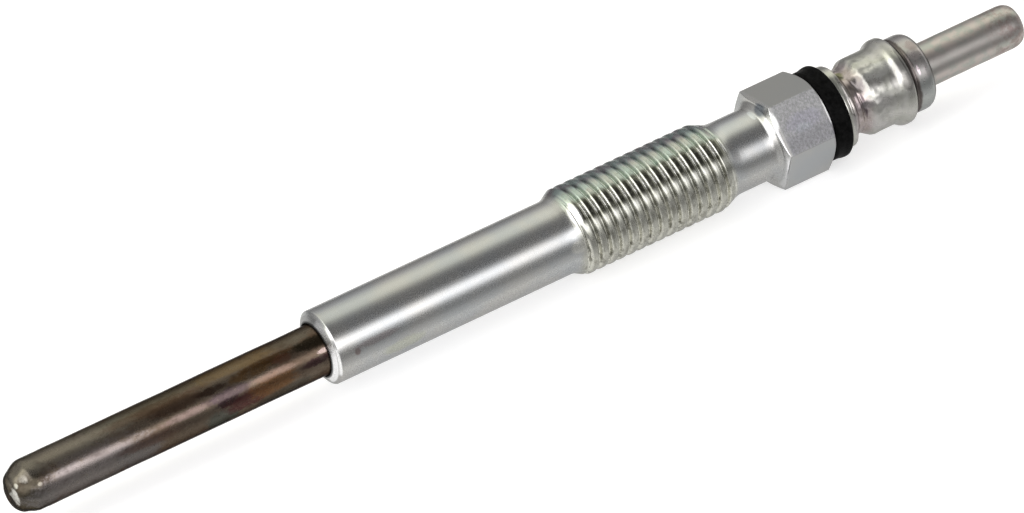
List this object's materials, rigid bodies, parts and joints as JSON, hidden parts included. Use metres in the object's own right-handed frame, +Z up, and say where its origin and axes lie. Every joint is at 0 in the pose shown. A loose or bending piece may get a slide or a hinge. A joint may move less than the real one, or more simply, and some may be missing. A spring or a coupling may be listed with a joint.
{
  "type": "diesel glow plug",
  "caption": "Metal-sheath diesel glow plug with a threaded hexagon shell, a slim closed heater tube and a push-on connector pin.",
  "frame": {"origin": "centre of the bounding box at its base, on the surface that the plug lies on", "axes": "+X along the plug from the heater tip to the connector pin; +Z up, square to the hexagon flat that faces up"},
  "size_m": [0.1012, 0.0092, 0.0083],
  "materials": {
    "plated_shell": "bright nickel plate over machined steel",
    "heater_sheath": "heat-oxidised nickel alloy, brown to grey",
    "heater_wire": "drawn wire",
    "regulating_wire": "drawn wire",
    "magnesia": "pressed white powder",
    "tube_rubber": "matte",
    "rod_steel": "turned steel",
    "seal_rubber": "matte",
    "washer_plastic": "black moulded",
    "connector_metal": "dull nickel plate"
  },
  "bodies": {
    "root": {"shell": "plated_shell", "heater_tube": "heater_sheath", "heater_coil": "heater_wire", "regulating_coil": "regulating_wire", "filler_powder": "magnesia", "tube_gasket": "tube_rubber", "centre_rod": "rod_steel", "shell_seal": "seal_rubber", "insulating_washer": "washer_plastic", "terminal_connector": "connector_metal"}
  },
  "joints": []
}
